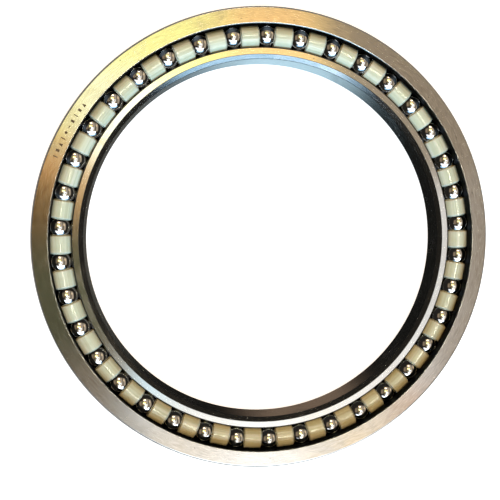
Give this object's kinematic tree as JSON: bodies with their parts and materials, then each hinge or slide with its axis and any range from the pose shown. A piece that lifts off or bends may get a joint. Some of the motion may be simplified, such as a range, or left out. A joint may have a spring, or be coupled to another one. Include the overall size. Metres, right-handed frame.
{
  "type": "thin-section angular contact ball bearing",
  "caption": "Thin large-bore ball bearing: offset inner and outer steel rings with a single open row of steel balls kept apart by pale plastic spacers; carries thrust and radial load.",
  "frame": {"origin": "on the bearing's axis in the plane of the ball centres, which is the middle of the overall width", "axes": "+Z along the axis towards the open side of the outer ring, where the balls show; +X and +Y across, with ball_01 at 5.4 degrees from +X towards +Y"},
  "size_m": [0.276, 0.276, 0.026],
  "materials": {
    "ring_steel": "ground bearing steel, fine grinding marks on the faces, polished bore and raceways",
    "ball_steel": "lapped chrome steel, mirror polished",
    "spacer_plastic": "natural nylon, satin, slightly translucent"
  },
  "bodies": {
    "inner_ring": {"inner_ring": "ring_steel"},
    "outer_ring": {"outer_ring": "ring_steel"},
    "ball_train": {"spacer_pair_01": "spacer_plastic", "spacer_pair_02": "spacer_plastic", "spacer_pair_03": "spacer_plastic", "spacer_pair_04": "spacer_plastic", "spacer_pair_05": "spacer_plastic", "spacer_pair_06": "spacer_plastic", "spacer_pair_07": "spacer_plastic", "spacer_pair_08": "spacer_plastic", "spacer_pair_09": "spacer_plastic", "spacer_pair_10": "spacer_plastic", "spacer_pair_11": "spacer_plastic", "spacer_pair_12": "spacer_plastic", "spacer_pair_13": "spacer_plastic", "spacer_pair_14": "spacer_plastic", "spacer_pair_15": "spacer_plastic", "spacer_pair_16": "spacer_plastic", "spacer_pair_17": "spacer_plastic", "spacer_pair_18": "spacer_plastic", "spacer_pair_19": "spacer_plastic"},
    "ball_01": {"ball_01": "ball_steel"},
    "ball_02": {"ball_02": "ball_steel"},
    "ball_03": {"ball_03": "ball_steel"},
    "ball_04": {"ball_04": "ball_steel"},
    "ball_05": {"ball_05": "ball_steel"},
    "ball_06": {"ball_06": "ball_steel"},
    "ball_07": {"ball_07": "ball_steel"},
    "ball_08": {"ball_08": "ball_steel"},
    "ball_09": {"ball_09": "ball_steel"},
    "ball_10": {"ball_10": "ball_steel"},
    "ball_11": {"ball_11": "ball_steel"},
    "ball_12": {"ball_12": "ball_steel"},
    "ball_13": {"ball_13": "ball_steel"},
    "ball_14": {"ball_14": "ball_steel"},
    "ball_15": {"ball_15": "ball_steel"},
    "ball_16": {"ball_16": "ball_steel"},
    "ball_17": {"ball_17": "ball_steel"},
    "ball_18": {"ball_18": "ball_steel"},
    "ball_19": {"ball_19": "ball_steel"},
    "ball_20": {"ball_20": "ball_steel"},
    "ball_21": {"ball_21": "ball_steel"},
    "ball_22": {"ball_22": "ball_steel"},
    "ball_23": {"ball_23": "ball_steel"},
    "ball_24": {"ball_24": "ball_steel"},
    "ball_25": {"ball_25": "ball_steel"},
    "ball_26": {"ball_26": "ball_steel"},
    "ball_27": {"ball_27": "ball_steel"},
    "ball_28": {"ball_28": "ball_steel"},
    "ball_29": {"ball_29": "ball_steel"},
    "ball_30": {"ball_30": "ball_steel"},
    "ball_31": {"ball_31": "ball_steel"},
    "ball_32": {"ball_32": "ball_steel"},
    "ball_33": {"ball_33": "ball_steel"},
    "ball_34": {"ball_34": "ball_steel"},
    "ball_35": {"ball_35": "ball_steel"},
    "ball_36": {"ball_36": "ball_steel"},
    "ball_37": {"ball_37": "ball_steel"},
    "ball_38": {"ball_38": "ball_steel"}
  },
  "joints": [
    {"name": "outer_ring_turn", "type": "hinge", "parent": "inner_ring", "child": "outer_ring", "pos_m": [0, 0, 0], "axis": [0, 0, 1], "continuous": true},
    {"name": "ball_train_turn", "type": "hinge", "parent": "inner_ring", "child": "ball_train", "pos_m": [0, 0, 0], "axis": [0, 0, 1], "continuous": true},
    {"name": "ball_01_spin", "type": "hinge", "parent": "ball_train", "child": "ball_01", "pos_m": [0.12345, 0.01167, 0], "axis": [-0.6399, -0.0605, 0.766], "continuous": true},
    {"name": "ball_02_spin", "type": "hinge", "parent": "ball_train", "child": "ball_02", "pos_m": [0.11985, 0.03183, 0], "axis": [-0.6213, -0.165, 0.766], "continuous": true},
    {"name": "ball_03_spin", "type": "hinge", "parent": "ball_train", "child": "ball_03", "pos_m": [0.11297, 0.05112, 0], "axis": [-0.5856, -0.265, 0.766], "continuous": true},
    {"name": "ball_04_spin", "type": "hinge", "parent": "ball_train", "child": "ball_04", "pos_m": [0.10302, 0.06902, 0], "axis": [-0.534, -0.3578, 0.766], "continuous": true},
    {"name": "ball_05_spin", "type": "hinge", "parent": "ball_train", "child": "ball_05", "pos_m": [0.09025, 0.08503, 0], "axis": [-0.4678, -0.4408, 0.766], "continuous": true},
    {"name": "ball_06_spin", "type": "hinge", "parent": "ball_train", "child": "ball_06", "pos_m": [0.07502, 0.09873, 0], "axis": [-0.3889, -0.5118, 0.766], "continuous": true},
    {"name": "ball_07_spin", "type": "hinge", "parent": "ball_train", "child": "ball_07", "pos_m": [0.05775, 0.10973, 0], "axis": [-0.2994, -0.5688, 0.766], "continuous": true},
    {"name": "ball_08_spin", "type": "hinge", "parent": "ball_train", "child": "ball_08", "pos_m": [0.0389, 0.11774, 0], "axis": [-0.2017, -0.6103, 0.766], "continuous": true},
    {"name": "ball_09_spin", "type": "hinge", "parent": "ball_train", "child": "ball_09", "pos_m": [0.01899, 0.12254, 0], "axis": [-0.0985, -0.6352, 0.766], "continuous": true},
    {"name": "ball_10_spin", "type": "hinge", "parent": "ball_train", "child": "ball_10", "pos_m": [-0.00144, 0.12399, 0], "axis": [0.0074, -0.6427, 0.766], "continuous": true},
    {"name": "ball_11_spin", "type": "hinge", "parent": "ball_train", "child": "ball_11", "pos_m": [-0.02182, 0.12206, 0], "axis": [0.1131, -0.6328, 0.766], "continuous": true},
    {"name": "ball_12_spin", "type": "hinge", "parent": "ball_train", "child": "ball_12", "pos_m": [-0.04162, 0.11681, 0], "axis": [0.2157, -0.6055, 0.766], "continuous": true},
    {"name": "ball_13_spin", "type": "hinge", "parent": "ball_train", "child": "ball_13", "pos_m": [-0.06028, 0.10836, 0], "axis": [0.3125, -0.5617, 0.766], "continuous": true},
    {"name": "ball_14_spin", "type": "hinge", "parent": "ball_train", "child": "ball_14", "pos_m": [-0.07729, 0.09697, 0], "axis": [0.4007, -0.5026, 0.766], "continuous": true},
    {"name": "ball_15_spin", "type": "hinge", "parent": "ball_train", "child": "ball_15", "pos_m": [-0.0922, 0.08292, 0], "axis": [0.4779, -0.4298, 0.766], "continuous": true},
    {"name": "ball_16_spin", "type": "hinge", "parent": "ball_train", "child": "ball_16", "pos_m": [-0.10459, 0.06662, 0], "axis": [0.5422, -0.3453, 0.766], "continuous": true},
    {"name": "ball_17_spin", "type": "hinge", "parent": "ball_train", "child": "ball_17", "pos_m": [-0.11412, 0.04849, 0], "axis": [0.5916, -0.2514, 0.766], "continuous": true},
    {"name": "ball_18_spin", "type": "hinge", "parent": "ball_train", "child": "ball_18", "pos_m": [-0.12055, 0.02905, 0], "axis": [0.6249, -0.1506, 0.766], "continuous": true},
    {"name": "ball_19_spin", "type": "hinge", "parent": "ball_train", "child": "ball_19", "pos_m": [-0.12369, 0.00881, 0], "axis": [0.6412, -0.0457, 0.766], "continuous": true},
    {"name": "ball_20_spin", "type": "hinge", "parent": "ball_train", "child": "ball_20", "pos_m": [-0.12345, -0.01167, 0], "axis": [0.6399, 0.0605, 0.766], "continuous": true},
    {"name": "ball_21_spin", "type": "hinge", "parent": "ball_train", "child": "ball_21", "pos_m": [-0.11985, -0.03183, 0], "axis": [0.6213, 0.165, 0.766], "continuous": true},
    {"name": "ball_22_spin", "type": "hinge", "parent": "ball_train", "child": "ball_22", "pos_m": [-0.11297, -0.05112, 0], "axis": [0.5856, 0.265, 0.766], "continuous": true},
    {"name": "ball_23_spin", "type": "hinge", "parent": "ball_train", "child": "ball_23", "pos_m": [-0.10302, -0.06902, 0], "axis": [0.534, 0.3578, 0.766], "continuous": true},
    {"name": "ball_24_spin", "type": "hinge", "parent": "ball_train", "child": "ball_24", "pos_m": [-0.09025, -0.08503, 0], "axis": [0.4678, 0.4408, 0.766], "continuous": true},
    {"name": "ball_25_spin", "type": "hinge", "parent": "ball_train", "child": "ball_25", "pos_m": [-0.07502, -0.09873, 0], "axis": [0.3889, 0.5118, 0.766], "continuous": true},
    {"name": "ball_26_spin", "type": "hinge", "parent": "ball_train", "child": "ball_26", "pos_m": [-0.05775, -0.10973, 0], "axis": [0.2994, 0.5688, 0.766], "continuous": true},
    {"name": "ball_27_spin", "type": "hinge", "parent": "ball_train", "child": "ball_27", "pos_m": [-0.0389, -0.11774, 0], "axis": [0.2017, 0.6103, 0.766], "continuous": true},
    {"name": "ball_28_spin", "type": "hinge", "parent": "ball_train", "child": "ball_28", "pos_m": [-0.01899, -0.12254, 0], "axis": [0.0985, 0.6352, 0.766], "continuous": true},
    {"name": "ball_29_spin", "type": "hinge", "parent": "ball_train", "child": "ball_29", "pos_m": [0.00144, -0.12399, 0], "axis": [-0.0074, 0.6427, 0.766], "continuous": true},
    {"name": "ball_30_spin", "type": "hinge", "parent": "ball_train", "child": "ball_30", "pos_m": [0.02182, -0.12206, 0], "axis": [-0.1131, 0.6328, 0.766], "continuous": true},
    {"name": "ball_31_spin", "type": "hinge", "parent": "ball_train", "child": "ball_31", "pos_m": [0.04162, -0.11681, 0], "axis": [-0.2157, 0.6055, 0.766], "continuous": true},
    {"name": "ball_32_spin", "type": "hinge", "parent": "ball_train", "child": "ball_32", "pos_m": [0.06028, -0.10836, 0], "axis": [-0.3125, 0.5617, 0.766], "continuous": true},
    {"name": "ball_33_spin", "type": "hinge", "parent": "ball_train", "child": "ball_33", "pos_m": [0.07729, -0.09697, 0], "axis": [-0.4007, 0.5026, 0.766], "continuous": true},
    {"name": "ball_34_spin", "type": "hinge", "parent": "ball_train", "child": "ball_34", "pos_m": [0.0922, -0.08292, 0], "axis": [-0.4779, 0.4298, 0.766], "continuous": true},
    {"name": "ball_35_spin", "type": "hinge", "parent": "ball_train", "child": "ball_35", "pos_m": [0.10459, -0.06662, 0], "axis": [-0.5422, 0.3453, 0.766], "continuous": true},
    {"name": "ball_36_spin", "type": "hinge", "parent": "ball_train", "child": "ball_36", "pos_m": [0.11412, -0.04849, 0], "axis": [-0.5916, 0.2514, 0.766], "continuous": true},
    {"name": "ball_37_spin", "type": "hinge", "parent": "ball_train", "child": "ball_37", "pos_m": [0.12055, -0.02905, 0], "axis": [-0.6249, 0.1506, 0.766], "continuous": true},
    {"name": "ball_38_spin", "type": "hinge", "parent": "ball_train", "child": "ball_38", "pos_m": [0.12369, -0.00881, 0], "axis": [-0.6412, 0.0457, 0.766], "continuous": true}
  ],
  "couplings": [
    {"joint": "ball_train_turn", "follows": "outer_ring_turn", "ratio": 0.52452},
    {"joint": "ball_01_spin", "follows": "outer_ring_turn", "ratio": 7.7922},
    {"joint": "ball_02_spin", "follows": "outer_ring_turn", "ratio": 7.7922},
    {"joint": "ball_03_spin", "follows": "outer_ring_turn", "ratio": 7.7922},
    {"joint": "ball_04_spin", "follows": "outer_ring_turn", "ratio": 7.7922},
    {"joint": "ball_05_spin", "follows": "outer_ring_turn", "ratio": 7.7922},
    {"joint": "ball_06_spin", "follows": "outer_ring_turn", "ratio": 7.7922},
    {"joint": "ball_07_spin", "follows": "outer_ring_turn", "ratio": 7.7922},
    {"joint": "ball_08_spin", "follows": "outer_ring_turn", "ratio": 7.7922},
    {"joint": "ball_09_spin", "follows": "outer_ring_turn", "ratio": 7.7922},
    {"joint": "ball_10_spin", "follows": "outer_ring_turn", "ratio": 7.7922},
    {"joint": "ball_11_spin", "follows": "outer_ring_turn", "ratio": 7.7922},
    {"joint": "ball_12_spin", "follows": "outer_ring_turn", "ratio": 7.7922},
    {"joint": "ball_13_spin", "follows": "outer_ring_turn", "ratio": 7.7922},
    {"joint": "ball_14_spin", "follows": "outer_ring_turn", "ratio": 7.7922},
    {"joint": "ball_15_spin", "follows": "outer_ring_turn", "ratio": 7.7922},
    {"joint": "ball_16_spin", "follows": "outer_ring_turn", "ratio": 7.7922},
    {"joint": "ball_17_spin", "follows": "outer_ring_turn", "ratio": 7.7922},
    {"joint": "ball_18_spin", "follows": "outer_ring_turn", "ratio": 7.7922},
    {"joint": "ball_19_spin", "follows": "outer_ring_turn", "ratio": 7.7922},
    {"joint": "ball_20_spin", "follows": "outer_ring_turn", "ratio": 7.7922},
    {"joint": "ball_21_spin", "follows": "outer_ring_turn", "ratio": 7.7922},
    {"joint": "ball_22_spin", "follows": "outer_ring_turn", "ratio": 7.7922},
    {"joint": "ball_23_spin", "follows": "outer_ring_turn", "ratio": 7.7922},
    {"joint": "ball_24_spin", "follows": "outer_ring_turn", "ratio": 7.7922},
    {"joint": "ball_25_spin", "follows": "outer_ring_turn", "ratio": 7.7922},
    {"joint": "ball_26_spin", "follows": "outer_ring_turn", "ratio": 7.7922},
    {"joint": "ball_27_spin", "follows": "outer_ring_turn", "ratio": 7.7922},
    {"joint": "ball_28_spin", "follows": "outer_ring_turn", "ratio": 7.7922},
    {"joint": "ball_29_spin", "follows": "outer_ring_turn", "ratio": 7.7922},
    {"joint": "ball_30_spin", "follows": "outer_ring_turn", "ratio": 7.7922},
    {"joint": "ball_31_spin", "follows": "outer_ring_turn", "ratio": 7.7922},
    {"joint": "ball_32_spin", "follows": "outer_ring_turn", "ratio": 7.7922},
    {"joint": "ball_33_spin", "follows": "outer_ring_turn", "ratio": 7.7922},
    {"joint": "ball_34_spin", "follows": "outer_ring_turn", "ratio": 7.7922},
    {"joint": "ball_35_spin", "follows": "outer_ring_turn", "ratio": 7.7922},
    {"joint": "ball_36_spin", "follows": "outer_ring_turn", "ratio": 7.7922},
    {"joint": "ball_37_spin", "follows": "outer_ring_turn", "ratio": 7.7922},
    {"joint": "ball_38_spin", "follows": "outer_ring_turn", "ratio": 7.7922}
  ]
}
